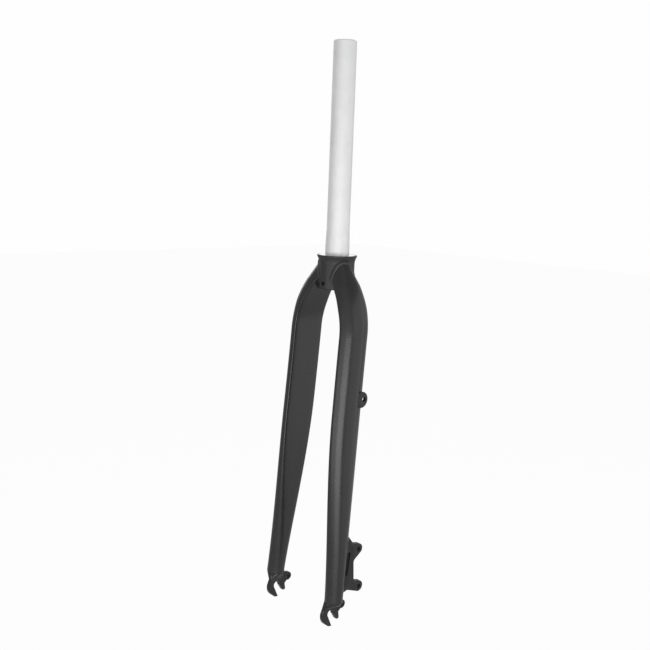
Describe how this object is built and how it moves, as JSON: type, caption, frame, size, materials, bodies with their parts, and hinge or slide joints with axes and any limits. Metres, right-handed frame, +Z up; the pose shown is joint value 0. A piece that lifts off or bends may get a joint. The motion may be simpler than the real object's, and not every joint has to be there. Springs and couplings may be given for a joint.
{
  "type": "bicycle fork",
  "caption": "Rigid disc-brake bicycle fork: bare threadless steerer tube, flared crown, two curved hollow legs, hook dropouts, brake mount and hose guide.",
  "frame": {"origin": "centre of the crown's top face, where the headset's crown race rests, on the steerer axis", "axes": "+Z up along the steerer axis, -Y the riding direction, +X the rider's left (disc brake side)"},
  "size_m": [0.1362, 0.0784, 0.721],
  "materials": {
    "bare_aluminium": "bare drawn tube, fine lengthwise streaks, light handling marks",
    "crown_finish": "satin black, machined bare on the top face",
    "blade_finish": "satin black over smooth formed tube",
    "weld_finish": "satin black over rippled weld bead",
    "fitting_finish": "satin black over forged and machined plate"
  },
  "bodies": {
    "root": {"steerer_tube": "bare_aluminium", "crown": "crown_finish", "left_blade": "blade_finish", "right_blade": "blade_finish", "left_dropout": "fitting_finish", "right_dropout": "fitting_finish", "brake_mount": "fitting_finish", "hose_guide": "fitting_finish", "steerer_weld": "bare_aluminium", "left_crown_weld": "weld_finish", "right_crown_weld": "weld_finish", "left_dropout_weld": "weld_finish", "right_dropout_weld": "weld_finish", "brake_mount_weld": "weld_finish", "hose_guide_weld": "weld_finish"}
  },
  "joints": []
}
